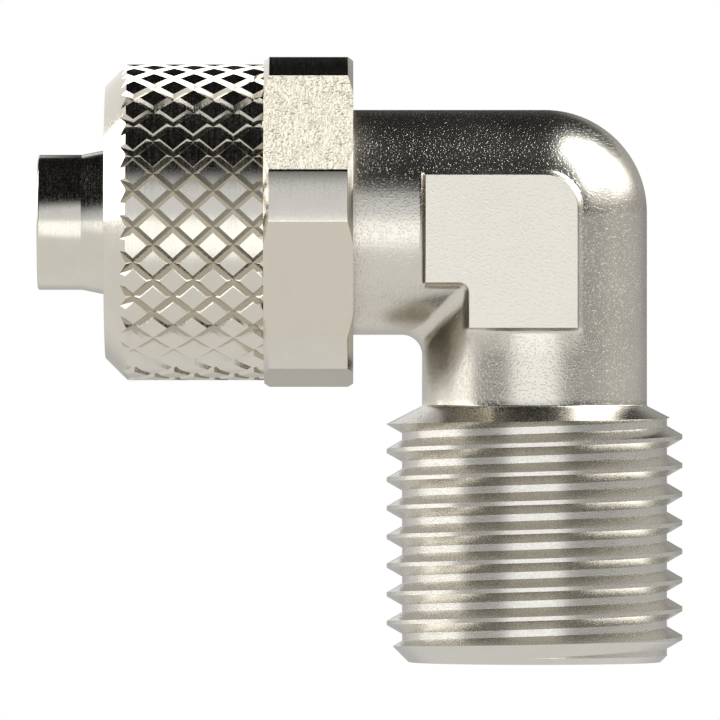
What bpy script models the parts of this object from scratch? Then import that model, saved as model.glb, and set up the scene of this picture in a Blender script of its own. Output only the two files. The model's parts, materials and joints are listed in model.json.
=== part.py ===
"""Push-on male elbow for plastic hose: a one-piece plated brass body and its knurled union nut.

The origin is the centre of the port thread's end face. The port thread stands on +Z, and the hose
arm leaves the corner towards -X. Lengths are metres.
"""

import math

import bmesh
import bpy

# Elbow: two round arms of one diameter whose axes meet at the corner
ARM_RADIUS = 0.0050
OUTER_CORNER_RADIUS = 0.00455
INNER_CORNER_RADIUS = 0.0009
ARM_BELOW_CORNER = 0.00816

# Port thread: straight pipe thread, flared out of the lower arm and chamfered at its end
PORT_LENGTH = 0.01139
PORT_ROOT_STEP = 0.00089
PORT_THREAD_DEPTH = 0.00070
PORT_PITCH = 0.001275
PORT_CREST_FLAT = 0.00018
PORT_ROOT_FLAT = 0.00031
PORT_FIRST_CREST = 0.00046
PORT_FLARE_LENGTH = 0.00080
PORT_END_CHAMFER = 0.00097
PORT_BORE_RADIUS = 0.0035
PORT_BORE_PAST_CORNER = 0.0010
PORT_MOUTH_CHAMFER = 0.00025

# Wrench pads: an L on the front and the back of the corner, edges measured from the corner's centre
PAD_RISE = 0.00050
PAD_TOP = 0.00206
PAD_BOTTOM = 0.00471
PAD_RIGHT = 0.00184
PAD_LEFT = 0.00488
PAD_NOTCH_LEFT = 0.00296
PAD_NOTCH_BELOW = 0.00271
PAD_CORNER_RADIUS = 0.00145
PAD_NOTCH_RADIUS = 0.00042
PAD_DRAFT = 0.00006

# Union thread under the nut, drawn plain at its mean radius, and the hose nipple in front of it
UNION_STEP = 0.000675
UNION_SETBACK = 0.00050
UNION_RUN_OUT = 0.00050
UNION_LENGTH = 0.0060
UNION_CHAMFER = 0.00035
NIPPLE_BORE_RADIUS = 0.0022
NIPPLE_WALL = 0.00080
NIPPLE_PROJECTION = 0.00301
NIPPLE_TIP_LENGTH = 0.00196
NIPPLE_TIP_BREAK = 0.00010
NIPPLE_MOUTH_CHAMFER = 0.00012
BARB_RISE = 0.00050
BARB_ANGLE = math.radians(11.5)
BARB_BACK_LENGTH = 0.00030
NECK_STEP = 0.00010

# Union nut: hexagon at the elbow's end, knurled collar, and a cone inside that grips the hose
NUT_FROM_CORNER = 0.00806
NUT_LENGTH = 0.01101
NUT_WALL = 0.0010
THREAD_CLEARANCE = 0.000325
HEX_LENGTH = 0.00396
HEX_CORNER_TURN = 0.00050
HEX_CHAMFER_DEPTH = 0.00032
HEX_CHAMFER_LENGTH = 0.00024
HEX_TURN = math.radians(8.5)
NUT_MOUTH_CHAMFER = 0.00030
NUT_END_CHAMFER = 0.00095
CONE_SEAT_STEP = 0.00070
HOSE_GAP = 0.00065
HOSE_LAND = 0.00130
HOSE_MOUTH_CHAMFER = 0.00020

# Diamond knurl: equal right-hand and left-hand starts, rolled just under the flats
KNURL_STARTS = 27
KNURL_AXIAL_PITCH = 0.001765
KNURL_INSET = 0.00001
KNURL_DEPTH = 0.00024
KNURL_TOP_SHARE = 0.69
KNURL_FIRST_ROW = 0.01246
KNURL_TURN = math.radians(-98.96)

# Drill points and facets
DRILL_HALF_ANGLE = math.radians(59)
CUT_MARGIN = 0.0006
BODY_SIDES = 48
BORE_SIDES = 40
NUT_SIDES = 90
CORNER_STEPS = 9
ROUND_STEPS = 5

# Heights and stations worked out from the sizes above
CORNER_HEIGHT = PORT_LENGTH + ARM_BELOW_CORNER
PORT_ROOT_RADIUS = ARM_RADIUS + PORT_ROOT_STEP
PORT_CREST_RADIUS = PORT_ROOT_RADIUS + PORT_THREAD_DEPTH
UNION_RADIUS = ARM_RADIUS + UNION_STEP
UNION_START = NUT_FROM_CORNER + UNION_SETBACK
UNION_FACE = UNION_START + UNION_LENGTH
NUT_END = NUT_FROM_CORNER + NUT_LENGTH
NIPPLE_TIP = NUT_END + NIPPLE_PROJECTION
NIPPLE_RADIUS = NIPPLE_BORE_RADIUS + NIPPLE_WALL
BARB_RADIUS = NIPPLE_RADIUS + BARB_RISE
NECK_RADIUS = NIPPLE_RADIUS + NECK_STEP
BARB_TOP = NIPPLE_TIP - NIPPLE_TIP_LENGTH - BARB_RISE / math.tan(BARB_ANGLE)
NUT_BORE_RADIUS = UNION_RADIUS + THREAD_CLEARANCE
FLAT_RADIUS = NUT_BORE_RADIUS + NUT_WALL
HEX_RADIUS = FLAT_RADIUS + HEX_CORNER_TURN
HEX_END = NUT_FROM_CORNER + HEX_LENGTH
KNURL_RADIUS = FLAT_RADIUS - KNURL_INSET

# Plating: the forged body is matte, the turned nut is brighter
BODY_COLOUR = (0.62, 0.59, 0.54, 1.0)
BODY_ROUGHNESS = 0.42
NUT_COLOUR = (0.66, 0.63, 0.58, 1.0)
NUT_ROUGHNESS = 0.24


def clear_scene():
    for old in list(bpy.data.objects):
        bpy.data.objects.remove(old, do_unlink=True)


def new_collection(name):
    collection = bpy.data.collections.new(name)
    bpy.context.scene.collection.children.link(collection)
    return collection


def plating(name, colour, roughness):
    material = bpy.data.materials.new(name)
    material.use_nodes = True
    shader = material.node_tree.nodes["Principled BSDF"]
    shader.inputs["Base Color"].default_value = colour
    shader.inputs["Metallic"].default_value = 1.0
    shader.inputs["Roughness"].default_value = roughness
    return material


def mesh_object(name, bm, collection):
    """Turn a bmesh into an object in a collection, its faces pointing out."""
    bmesh.ops.recalc_face_normals(bm, faces=bm.faces)
    mesh = bpy.data.meshes.new(name)
    bm.to_mesh(mesh)
    bm.free()
    piece = bpy.data.objects.new(name, mesh)
    collection.objects.link(piece)
    return piece


def turned_object(name, profile, sides, collection, ring=False):
    """Turn a profile of (radius, height) points about Z, given from the top down its outer side."""
    mesh = bpy.data.meshes.new(name)
    count = len(profile)
    edges = [(i, i + 1) for i in range(count - 1)]
    if ring:
        edges.append((count - 1, 0))
    mesh.from_pydata([(radius, 0, height) for radius, height in profile], edges, [])
    piece = bpy.data.objects.new(name, mesh)
    collection.objects.link(piece)
    screw = piece.modifiers.new("turn", "SCREW")
    screw.axis = "Z"
    screw.steps = sides
    screw.render_steps = sides
    screw.use_merge_vertices = True
    screw.merge_threshold = 0.000001
    return piece


def hide_cutter(cutter):
    cutter.hide_render = True
    cutter.display_type = "WIRE"


def combine(piece, other, operation):
    """Add a Boolean with another object, which is then only a tool."""
    boolean = piece.modifiers.new(other.name, "BOOLEAN")
    boolean.operation = operation
    boolean.solver = "EXACT"
    boolean.object = other
    hide_cutter(other)


def lay_along_hose_arm(piece):
    """Stand a piece on the corner's centre with its own +Z along the hose arm and its own +X up."""
    piece.location = (0, 0, CORNER_HEIGHT)
    piece.rotation_euler = (0, -math.pi / 2, 0)


def hose_arm_profile():
    """(distance from the corner, radius) stations from the nipple's tip back to the plain arm."""
    return [
        (NIPPLE_TIP, NIPPLE_RADIUS - NIPPLE_TIP_BREAK),
        (NIPPLE_TIP - NIPPLE_TIP_BREAK, NIPPLE_RADIUS),
        (NIPPLE_TIP - NIPPLE_TIP_LENGTH, NIPPLE_RADIUS),
        (BARB_TOP, BARB_RADIUS),
        (BARB_TOP - BARB_BACK_LENGTH, NECK_RADIUS),
        (UNION_FACE, NECK_RADIUS),
        (UNION_FACE, UNION_RADIUS - UNION_CHAMFER),
        (UNION_FACE - UNION_CHAMFER, UNION_RADIUS),
        (UNION_START + UNION_RUN_OUT, UNION_RADIUS),
        (UNION_START, ARM_RADIUS),
    ]


def port_arm_profile():
    """(height, radius) stations from the plain arm to the end face, oversize where the thread is cut."""
    stock_radius = PORT_CREST_RADIUS + CUT_MARGIN
    flare_slope = PORT_FLARE_LENGTH / (PORT_CREST_RADIUS - ARM_RADIUS)
    return [
        (PORT_LENGTH, ARM_RADIUS),
        (PORT_LENGTH - (stock_radius - ARM_RADIUS) * flare_slope, stock_radius),
        (PORT_END_CHAMFER + CUT_MARGIN, stock_radius),
        (0, PORT_CREST_RADIUS - PORT_END_CHAMFER),
    ]


def corner_point(angle, share):
    """A point of the blended corner, at an angle round the arms and a share of the way through it.

    A ball that rolls in the corner touches both arms: inside it for the round outer corner, and
    outside it for the fillet of the inner corner. Its centre keeps to the mitre plane, and the
    blend is the arc between its two touching points.
    """
    cosine = math.cos(angle)
    sine = math.sin(angle)
    ball = OUTER_CORNER_RADIUS if cosine > 0 else -INNER_CORNER_RADIUS
    centre = ARM_RADIUS - ball
    between = math.acos(min(1.0, sine * sine))
    if between < 0.0001:
        return (0, ARM_RADIUS * sine, CORNER_HEIGHT)
    on_hose_arm = math.sin((1 - share) * between) / math.sin(between)
    on_port_arm = math.sin(share * between) / math.sin(between)
    x = cosine * (centre + ball * on_port_arm)
    y = sine * (centre + ball * (on_hose_arm + on_port_arm))
    z = cosine * (centre + ball * on_hose_arm)
    return (x, y, CORNER_HEIGHT + z)


def body_rings():
    """Rings of points from the nipple's tip, through the corner, to the port's end face."""
    angles = [2 * math.pi * i / BODY_SIDES for i in range(BODY_SIDES)]
    rings = []
    for distance, radius in hose_arm_profile():
        ring = [(-distance, radius * math.sin(a), CORNER_HEIGHT + radius * math.cos(a)) for a in angles]
        rings.append(ring)
    for step in range(CORNER_STEPS + 1):
        rings.append([corner_point(a, step / CORNER_STEPS) for a in angles])
    for height, radius in port_arm_profile():
        rings.append([(radius * math.cos(a), radius * math.sin(a), height) for a in angles])
    return rings


def body_blank(name, collection):
    """The solid elbow before its thread is cut and its bores are drilled."""
    bm = bmesh.new()
    rings = [[bm.verts.new(point) for point in ring] for ring in body_rings()]
    for ring, following in zip(rings, rings[1:]):
        for i in range(BODY_SIDES):
            j = (i + 1) % BODY_SIDES
            bm.faces.new((ring[i], ring[j], following[j], following[i]))
    bm.faces.new(rings[0])
    bm.faces.new(rings[-1])
    bmesh.ops.remove_doubles(bm, verts=bm.verts, dist=0.0000001)
    return mesh_object(name, bm, collection)


def rounded_outline(corners):
    """An outline from (x, z, corner radius) points in order, sharp where the radius is 0."""
    points = []
    for i, (x, z, radius) in enumerate(corners):
        if radius == 0:
            points.append((x, z))
            continue
        before = corners[i - 1]
        after = corners[(i + 1) % len(corners)]
        back = math.atan2(before[1] - z, before[0] - x)
        ahead = math.atan2(after[1] - z, after[0] - x)
        turn = (ahead - back + math.pi) % (2 * math.pi) - math.pi
        reach = radius / math.tan(abs(turn) / 2)
        bisector = back + turn / 2
        centre_away = radius / math.sin(abs(turn) / 2)
        centre = (x + centre_away * math.cos(bisector), z + centre_away * math.sin(bisector))
        start = math.atan2(z + reach * math.sin(back) - centre[1], x + reach * math.cos(back) - centre[0])
        sweep = math.copysign(math.pi - abs(turn), -turn)
        for step in range(ROUND_STEPS + 1):
            angle = start + sweep * step / ROUND_STEPS
            points.append((centre[0] + radius * math.cos(angle), centre[1] + radius * math.sin(angle)))
    return points


def pad_outline(grow):
    """The L of the wrench pad about the corner's centre, widened all round by grow."""
    return rounded_outline(
        [
            (-PAD_LEFT - grow, PAD_TOP + grow, 0),
            (PAD_RIGHT + grow, PAD_TOP + grow, PAD_CORNER_RADIUS + grow),
            (PAD_RIGHT + grow, -PAD_BOTTOM - grow, 0),
            (-PAD_NOTCH_LEFT - grow, -PAD_BOTTOM - grow, 0),
            (-PAD_NOTCH_LEFT - grow, -PAD_NOTCH_BELOW - grow, PAD_NOTCH_RADIUS - grow),
            (-PAD_LEFT - grow, -PAD_NOTCH_BELOW - grow, 0),
        ]
    )


def wrench_pads(name, collection):
    """Both pads as one drafted block through the body: narrow at its faces and wider in the middle."""
    half = ARM_RADIUS + PAD_RISE
    bm = bmesh.new()
    rings = []
    for y, grow in ((-half, 0), (0, PAD_DRAFT), (half, 0)):
        outline = pad_outline(grow)
        rings.append([bm.verts.new((x, y, CORNER_HEIGHT + z)) for x, z in outline])
    count = len(rings[0])
    for ring, following in zip(rings, rings[1:]):
        for i in range(count):
            j = (i + 1) % count
            bm.faces.new((ring[i], ring[j], following[j], following[i]))
    bm.faces.new(rings[0])
    bm.faces.new(rings[-1])
    return mesh_object(name, bm, collection)


def threaded_bar(name, collection):
    """A round bar with the port thread on it, right-handed and longer than the thread at both ends.

    One turn of the strip holds a crest flat, a flank, a root flat and a flank, and its upper edge is
    the lower edge of the turn above. It starts half a facet round, so that its columns don't meet
    the blank's edges.
    """
    flank = (PORT_PITCH - PORT_CREST_FLAT - PORT_ROOT_FLAT) / 2
    section = [
        (PORT_CREST_RADIUS, -PORT_CREST_FLAT / 2),
        (PORT_CREST_RADIUS, PORT_CREST_FLAT / 2),
        (PORT_ROOT_RADIUS, PORT_CREST_FLAT / 2 + flank),
        (PORT_ROOT_RADIUS, PORT_CREST_FLAT / 2 + flank + PORT_ROOT_FLAT),
    ]
    turns_below = 3
    full_turns = turns_below + math.ceil(PORT_LENGTH / PORT_PITCH) + 1
    full = full_turns * BODY_SIDES
    bm = bmesh.new()
    strip = []
    for step in range(full + BODY_SIDES):
        share = (step + 0.5) / BODY_SIDES
        angle = math.pi + 2 * math.pi * share
        middle = PORT_FIRST_CREST + PORT_PITCH * (share - turns_below)
        points = section if step < full else section[:1]
        strip.append([bm.verts.new((r * math.cos(angle), r * math.sin(angle), middle + up)) for r, up in points])
    columns = [strip[i] + strip[i + BODY_SIDES][:1] for i in range(full)]
    for here, there in zip(columns, columns[1:]):
        for j in range(len(section)):
            bm.faces.new((here[j], there[j], there[j + 1], here[j + 1]))
    lowest = [column[0] for column in strip[:BODY_SIDES]] + columns[0][::-1]
    highest = [column[0] for column in strip[full - 1 : -1]] + columns[-1][::-1]
    for loop in (lowest, highest):
        rim = loop[:-1]
        middle = bm.verts.new((0, 0, rim[0].co.z))
        for vert, following in zip(rim, rim[1:] + rim[:1]):
            bm.faces.new((middle, vert, following))
    return mesh_object(name, bm, collection)


def thread_ring(collection):
    """What threading takes off the blank: a ring that fits round the threaded bar."""
    outside = PORT_CREST_RADIUS + 2 * CUT_MARGIN
    inside = (ARM_RADIUS + PORT_ROOT_RADIUS) / 2
    top = PORT_LENGTH + CUT_MARGIN
    profile = [(outside, top), (outside, -CUT_MARGIN), (inside, -CUT_MARGIN), (inside, top)]
    ring = turned_object("thread_ring", profile, BODY_SIDES, collection, ring=True)
    combine(ring, threaded_bar("threaded_bar", collection), "DIFFERENCE")
    return ring


def port_drill(collection):
    """The wide bore, drilled up from the port's end face to just past the corner."""
    shoulder = CORNER_HEIGHT + PORT_BORE_PAST_CORNER
    point = shoulder + PORT_BORE_RADIUS / math.tan(DRILL_HALF_ANGLE)
    profile = [
        (0, point),
        (PORT_BORE_RADIUS, shoulder),
        (PORT_BORE_RADIUS, PORT_MOUTH_CHAMFER),
        (PORT_BORE_RADIUS + PORT_MOUTH_CHAMFER + CUT_MARGIN, -CUT_MARGIN),
        (0, -CUT_MARGIN),
    ]
    return turned_object("port_drill", profile, BORE_SIDES, collection)


def nipple_drill(collection):
    """The narrow bore, drilled in from the nipple's tip until it breaks into the wide one."""
    profile = [
        (0, NIPPLE_TIP + CUT_MARGIN),
        (NIPPLE_BORE_RADIUS + NIPPLE_MOUTH_CHAMFER + CUT_MARGIN, NIPPLE_TIP + CUT_MARGIN),
        (NIPPLE_BORE_RADIUS, NIPPLE_TIP - NIPPLE_MOUTH_CHAMFER),
        (NIPPLE_BORE_RADIUS, 0),
        (0, -NIPPLE_BORE_RADIUS / math.tan(DRILL_HALF_ANGLE)),
    ]
    drill = turned_object("nipple_drill", profile, BORE_SIDES, collection)
    lay_along_hose_arm(drill)
    return drill


def make_elbow_body(parts, cutters):
    body = body_blank("elbow_body", parts)
    combine(body, wrench_pads("wrench_pads", cutters), "UNION")
    combine(body, port_drill(cutters), "DIFFERENCE")
    combine(body, nipple_drill(cutters), "DIFFERENCE")
    combine(body, thread_ring(cutters), "DIFFERENCE")
    body.data.materials.append(plating("matte_nickel", BODY_COLOUR, BODY_ROUGHNESS))
    return body


def nut_blank(name, collection):
    """The nut as it is turned and bored, before its flats are milled and its collar is knurled."""
    end_radius = KNURL_RADIUS - NUT_END_CHAMFER
    seat = UNION_FACE + THREAD_CLEARANCE
    hose_radius = BARB_RADIUS + HOSE_GAP
    profile = [
        (end_radius, NUT_END),
        (HEX_RADIUS, NUT_END - (HEX_RADIUS - end_radius)),
        (HEX_RADIUS, NUT_FROM_CORNER + HEX_CHAMFER_LENGTH),
        (HEX_RADIUS - HEX_CHAMFER_DEPTH, NUT_FROM_CORNER),
        (NUT_BORE_RADIUS + NUT_MOUTH_CHAMFER, NUT_FROM_CORNER),
        (NUT_BORE_RADIUS, NUT_FROM_CORNER + NUT_MOUTH_CHAMFER),
        (NUT_BORE_RADIUS, seat),
        (NUT_BORE_RADIUS - CONE_SEAT_STEP, seat),
        (hose_radius, NUT_END - HOSE_LAND),
        (hose_radius, NUT_END - HOSE_MOUTH_CHAMFER),
        (hose_radius + HOSE_MOUTH_CHAMFER, NUT_END),
    ]
    return turned_object(name, profile, NUT_SIDES, collection, ring=True)


def hex_mill(name, collection):
    """Six blocks that take the flats off the hexagon's stretch of the blank."""
    length = HEX_LENGTH + 2 * CUT_MARGIN
    height = 2 * HEX_CORNER_TURN
    half_width = FLAT_RADIUS * math.tan(math.radians(27))
    bm = bmesh.new()
    for side in range(6):
        angle = HEX_TURN + side * math.pi / 3
        block = bmesh.ops.create_cube(bm, size=1)["verts"]
        bmesh.ops.scale(bm, verts=block, vec=(height, 2 * half_width, length))
        middle = (FLAT_RADIUS + height / 2, 0, NUT_FROM_CORNER + HEX_LENGTH / 2)
        bmesh.ops.translate(bm, verts=block, vec=middle)
        turn = math.cos(angle), math.sin(angle)
        for vert in block:
            x, y = vert.co.x, vert.co.y
            vert.co.x = x * turn[0] - y * turn[1]
            vert.co.y = x * turn[1] + y * turn[0]
    return mesh_object(name, bm, collection)


def knurl_roller(name, collection):
    """A round bar with the diamond knurl on it, longer than the collar at both ends.

    Diamonds and groove crossings share a lattice of half pitches, round the bar and along it. Where
    the two numbers of a place add up to an odd number it holds a diamond, else a crossing.
    """
    round_half = math.pi / KNURL_STARTS
    along_half = KNURL_AXIAL_PITCH / 2
    first = math.floor((HEX_END - CUT_MARGIN - KNURL_FIRST_ROW) / along_half) - 1
    last = math.ceil((NUT_END + 2 * CUT_MARGIN - KNURL_FIRST_ROW) / along_half) + 1
    bm = bmesh.new()

    def vertex(around, along, radius):
        angle = KNURL_TURN + (around + 1) * round_half
        height = KNURL_FIRST_ROW + along * along_half
        return bm.verts.new((radius * math.cos(angle), radius * math.sin(angle), height))

    crossings = {}
    for along in range(first - 1, last + 2):
        for around in range(2 * KNURL_STARTS):
            if (around + along) % 2 == 0:
                crossings[around, along] = vertex(around, along, KNURL_RADIUS - KNURL_DEPTH)
    for along in range(first, last + 1):
        for around in range(2 * KNURL_STARTS):
            if (around + along) % 2 == 1:
                steps = ((1, 0), (0, 1), (-1, 0), (0, -1))
                share = KNURL_TOP_SHARE
                top = [vertex(around + share * a, along + share * b, KNURL_RADIUS) for a, b in steps]
                low = [crossings[(around + a) % (2 * KNURL_STARTS), along + b] for a, b in steps]
                bm.faces.new(top)
                for i in range(4):
                    j = (i + 1) % 4
                    bm.faces.new((top[i], low[i], low[j], top[j]))
    for row, beyond in ((first, -1), (last, 1)):
        middle = bm.verts.new((0, 0, KNURL_FIRST_ROW + (row + beyond) * along_half))
        for around in range(2 * KNURL_STARTS):
            if (around + row) % 2 == 0:
                edge = crossings[around, row]
                for side in (-1, 1):
                    outer = crossings[(around + side) % (2 * KNURL_STARTS), row + beyond]
                    bm.faces.new((middle, edge, outer))
    return mesh_object(name, bm, collection)


def knurl_ring(collection):
    """What rolling takes off the blank: a ring that fits round the knurl and chamfers the hexagon."""
    outside = HEX_RADIUS + CUT_MARGIN
    inside = KNURL_RADIUS - KNURL_DEPTH - CUT_MARGIN
    chamfer_radius = HEX_RADIUS - HEX_CHAMFER_DEPTH
    slope = HEX_CHAMFER_LENGTH / HEX_CHAMFER_DEPTH
    top = NUT_END + CUT_MARGIN
    profile = [
        (outside, top),
        (outside, HEX_END - (outside - chamfer_radius) * slope),
        (chamfer_radius, HEX_END),
        (inside, HEX_END),
        (inside, top),
    ]
    ring = turned_object("knurl_ring", profile, NUT_SIDES, collection, ring=True)
    roller = knurl_roller("knurl_roller", collection)
    combine(ring, roller, "DIFFERENCE")
    lay_along_hose_arm(ring)
    lay_along_hose_arm(roller)
    return ring


def make_union_nut(parts, cutters):
    nut = nut_blank("union_nut", parts)
    lay_along_hose_arm(nut)
    mill = hex_mill("hex_mill", cutters)
    lay_along_hose_arm(mill)
    combine(nut, knurl_ring(cutters), "DIFFERENCE")
    combine(nut, mill, "DIFFERENCE")
    nut.data.materials.append(plating("bright_nickel", NUT_COLOUR, NUT_ROUGHNESS))
    return nut


def main():
    clear_scene()
    parts = new_collection("elbow_hose_fitting")
    cutters = new_collection("cutters")
    make_elbow_body(parts, cutters)
    make_union_nut(parts, cutters)


main()
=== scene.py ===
"""Looks of the elbow hose fitting: fine meshes for its two solids, plating, studio and camera.

Meshes are built in millimetres in the frame's own axes and scaled to metres when they are done.
"""

import json
import math

import bmesh
import bpy
from mathutils import Matrix, Vector
from mathutils.bvhtree import BVHTree


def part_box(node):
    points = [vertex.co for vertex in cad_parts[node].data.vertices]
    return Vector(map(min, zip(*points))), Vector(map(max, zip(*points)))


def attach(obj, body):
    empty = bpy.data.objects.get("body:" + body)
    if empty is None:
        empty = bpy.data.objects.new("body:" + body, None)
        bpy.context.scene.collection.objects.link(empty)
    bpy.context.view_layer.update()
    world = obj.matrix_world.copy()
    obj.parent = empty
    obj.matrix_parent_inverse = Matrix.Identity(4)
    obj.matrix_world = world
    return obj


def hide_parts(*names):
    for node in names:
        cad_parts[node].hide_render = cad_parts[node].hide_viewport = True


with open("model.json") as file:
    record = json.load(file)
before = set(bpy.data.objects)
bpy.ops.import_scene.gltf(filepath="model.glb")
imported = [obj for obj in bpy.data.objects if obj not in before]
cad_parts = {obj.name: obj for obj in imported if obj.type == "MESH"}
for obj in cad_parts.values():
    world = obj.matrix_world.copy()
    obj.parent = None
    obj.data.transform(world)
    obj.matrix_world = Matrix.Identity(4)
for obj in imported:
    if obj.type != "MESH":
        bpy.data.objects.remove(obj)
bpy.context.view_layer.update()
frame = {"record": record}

MM = 0.001

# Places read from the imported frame: the hose arm runs along -X from the corner's centre
CORNER_HEIGHT = frame["record"]["behaviour"]["joints"][0]["pos_m"][2] / MM
NUT_FROM_CORNER = -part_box("union_nut")[1][0] / MM
NUT_END = -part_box("union_nut")[0][0] / MM
NIPPLE_TIP = -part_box("elbow_body")[0][0] / MM

# Radii of broken edges and fillets
KEEN_EDGE = 0.03
BROKEN_EDGE = 0.05
NUT_END_EDGE = 0.06
BARB_EDGE = 0.08
SOFT_EDGE = 0.10
TURNED_FILLET = 0.15

# Elbow arms and corner
ARM_RADIUS = 5.0
OUTER_CORNER_RADIUS = 4.55
INNER_CORNER_RADIUS = 0.9
ARM_SIDES = 192
CORNER_STEPS = 40

# A pair of rings on each arm, past the pads, keeps the plain arm's shading free of theirs
PLAIN_ARM_RING = 6.0
RING_GAP = 0.6

# Port thread
PLAIN_PORT_ARM = 8.16
PORT_LENGTH = CORNER_HEIGHT - PLAIN_PORT_ARM
PORT_ROOT_RADIUS = 5.89
PORT_CREST_RADIUS = 6.575
PORT_PITCH = 1.275
PORT_CREST_FLAT = 0.18
PORT_ROOT_FLAT = 0.31
PORT_HELIX_START = math.pi
PORT_FIRST_CREST = 0.46
PORT_FLARE_LENGTH = 0.80
PORT_FLARE_RING = 0.3
PORT_END_CHAMFER = 0.97
PORT_END_FLAT = 0.4
PORT_TURNS_BELOW = 3
PORT_BORE_RADIUS = 3.5
PORT_BORE_PAST_CORNER = 1.0
PORT_BORE_SIDES = 128
PORT_MOUTH_CHAMFER = 0.25

# Wrench pads
PAD_FACE = 5.5
PAD_TOP = 2.06
PAD_BOTTOM = 4.71
PAD_RIGHT = 1.84
PAD_LEFT = 4.88
PAD_NOTCH_LEFT = 2.96
PAD_NOTCH_BELOW = 2.71
PAD_CORNER_RADIUS = 1.45
PAD_CORNER_STEPS = 10
PAD_NOTCH_RADIUS = 0.42
PAD_EDGE_RADIUS = 0.04
PAD_DRAFT = 0.02
PAD_LIP_RADIUS = 0.025
PAD_LIP_STEPS = 4
PAD_FILLET = 0.27
PAD_FILLET_STEPS = 8
PAD_FILLET_STEP_DEGREES = 10.75
PAD_POINT_GAP = 0.25

# Below its fillet a pad dips just under the arm's surface and ends inside the arm
PAD_SKIRT_REACH = 1.06
PAD_SKIRT_DEPTH = 0.003
PAD_ROOT = 3.0
PAD_ROOT_INSET = 0.1
OUTSIDE_PART = 20

# Union thread, neck, barb and nipple
UNION_SETBACK = 0.5
UNION_LENGTH = 6.0
UNION_START = NUT_FROM_CORNER + UNION_SETBACK
UNION_FACE = UNION_START + UNION_LENGTH
UNION_RADIUS = 5.675
UNION_CHAMFER = 0.35
UNION_RUN_OUT = 0.5
NECK_RADIUS = 3.1
BARB_RADIUS = 3.5
BARB_BACK = 0.3
NIPPLE_RADIUS = 3.0
NIPPLE_TIP_LENGTH = 1.96
NIPPLE_END_FLAT = 0.4
BARB_RISE_ANGLE = math.radians(11.5)
BARB_RISE = (BARB_RADIUS - NIPPLE_RADIUS) / math.tan(BARB_RISE_ANGLE)
BARB_TOP = NIPPLE_TIP - NIPPLE_TIP_LENGTH - BARB_RISE
NIPPLE_BORE_RADIUS = 2.2
NIPPLE_BORE_SIDES = 96
NIPPLE_MOUTH_CHAMFER = 0.12

# Union nut
FLAT_RADIUS = 7.0
HEX_RADIUS = 7.495
HEX_LENGTH = 3.96
HEX_END = NUT_FROM_CORNER + HEX_LENGTH
HEX_CHAMFER_DEPTH = 0.315
HEX_CHAMFER_LENGTH = 0.24
HEX_TURN = math.radians(8.5)
MILL_OVERRUN = 0.05
MILL_HALF_ANGLE = math.radians(27)
NUT_BORE_RADIUS = 6.0
NUT_BORE_CHAMFER = 0.3
NUT_SEAT_GAP = 0.325
NUT_SEAT = UNION_FACE + NUT_SEAT_GAP
NUT_SEAT_RADIUS = 5.3
HOSE_RADIUS = 4.15
HOSE_LAND = 1.3
HOSE_MOUTH_CHAMFER = 0.2
NUT_END_RADIUS = 6.04
NUT_SIDES = 216

# Knurl: the groove's half width is a share of the lattice cell
KNURL_STARTS = 27
KNURL_AXIAL_PITCH = 1.765
KNURL_RADIUS = 7.02
KNURL_DEPTH = 0.237
KNURL_GROOVE = 0.155
KNURL_CROWN_STEPS = 6
KNURL_FIRST_ROW = 12.46
KNURL_TURN = math.radians(-98.96)

# Cutting tools
DRILL_HALF_ANGLE = math.radians(59)
DRILL_POINT_RADIUS = 0.01
CUT_MARGIN = 0.6

# How faces are told apart when they get their finishes: by margins in millimetres beyond a surface,
# and by how far their normals lean along an axis, from 0 to 1
PORT_BORE_MARGIN = 0.3
NIPPLE_BORE_MARGIN = 0.15
BORES_ABOVE_CORNER = 3.2
BORES_HALF_WIDTH = 4.2
NIPPLE_MARGIN = 0.25
PORT_MARGIN = 0.05
NUT_BORE_MARGIN = 0.5
FLAT_MARGIN = 0.02
FACE_MARGIN = 0.01
PAD_FACING = 0.99
FLAT_FACING = 0.02
UPWARD_FACING = 0.3
KNURL_FACING = 0.66

# Angles in degrees from which an edge stays sharp, and a distance that counts as none
ELBOW_SHARP_ANGLE = 28
NUT_SHARP_ANGLE = 25
TINY = 0.0001

# Nickel's colours, each as a darker and a lighter shade
FORGED_COLOURS = ((0.645, 0.610, 0.535), (0.675, 0.640, 0.565))
TURNED_COLOURS = ((0.645, 0.608, 0.530), (0.675, 0.638, 0.557))
THREAD_COLOURS = ((0.625, 0.600, 0.545), (0.655, 0.630, 0.575))
# Painted light: the flats facing sideways and down are painted lighter and warmer than the nickel,
# a painted reflection
MILLED_PAINTED_LIGHT_COLOURS = ((0.845, 0.785, 0.668), (0.860, 0.800, 0.685))
# Painted light: the upward flat is painted lighter and warmer than the nickel, as light from the
# lamps above
BRUSHED_PAINTED_LIGHT_COLOURS = ((0.660, 0.613, 0.500), (0.830, 0.777, 0.652))

# Noise: cells a millimetre, ranges that count, and grain's depth as a share of the marks' depth
GRAIN_SCALE = 11.0
FORGED_CLOUD_SCALE = 0.5
TURNED_CLOUD_SCALE = 0.8
CLOUD_RANGE = (0.3, 0.7)
MARK_RANGE = (0.38, 0.62)
MARK_ROUGHNESS = 0.6
PIMPLE_RANGE = (0.585, 0.685)
BRUSH_STRETCH = (9.0, 0.8, 0.8)
BRUSH_COLOUR_RANGE = (0.38, 0.56)
BRUSH_ROUGHNESS = (0.49, 0.51)
TURNED_GRAIN = 0.5
BRUSH_GRAIN = 1.4

# Camera: level, in front, with the photograph's narrow field of view
CAMERA_TARGET = (-7.76, 0.0, CORNER_HEIGHT - 6.12)
CAMERA_DISTANCE = 578.0
FRAME_WIDTH = 32.02
SENSOR_WIDTH = 36.0

# Studio
FLOOR_DROP = 12.0
FLOOR_RADIUS = 290.0
FLOOR_COLOUR = (0.86, 0.86, 0.85, 1)
GROUND_RADIANCE = 0.86
GROUND_FAR_BEHIND = 0.52
GROUND_FADE = (-1.0, -0.6)
DARK_RADIANCE = 0.006
SOFT_HORIZON = 0.03

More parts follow.
